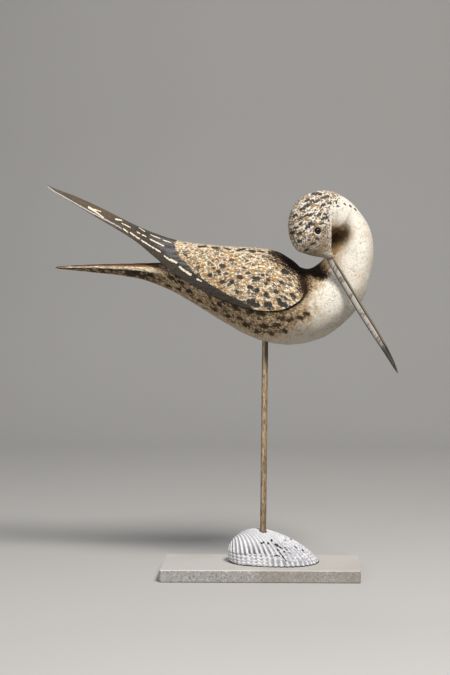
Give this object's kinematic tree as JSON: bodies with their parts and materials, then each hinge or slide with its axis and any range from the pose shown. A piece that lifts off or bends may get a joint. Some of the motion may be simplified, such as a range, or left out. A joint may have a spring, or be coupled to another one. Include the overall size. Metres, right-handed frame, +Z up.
{
  "type": "shorebird decoy",
  "caption": "Carved and painted long-billed shorebird preening its breast, on a thin wooden leg that rises out of half a ribbed sea shell on a flat slab.",
  "frame": {"origin": "centre of the slab's underside", "axes": "+Z up, +X the way the bird's breast faces, -Y the side that its head is laid over"},
  "size_m": [0.3559, 0.0899, 0.4005],
  "materials": {
    "slab_stone": "honed pale grey slab, sawn front edge with fine speckle",
    "painted_shell": "natural shell painted white, with bluish grey left in the grooves",
    "leg_wood": "bare tan wood, rubbed and stained",
    "painted_wood": "hand-painted, crackled and antiqued, satin",
    "bill_wood": "stained grey-brown hardwood, rubbed, satin",
    "eye_glass": "black glass, glossy"
  },
  "bodies": {
    "root": {"base_slab": "slab_stone", "sea_shell": "painted_shell", "leg_dowel": "leg_wood", "bird_body": "painted_wood", "bill": "bill_wood", "eye_near": "eye_glass", "eye_far": "eye_glass"}
  },
  "joints": []
}
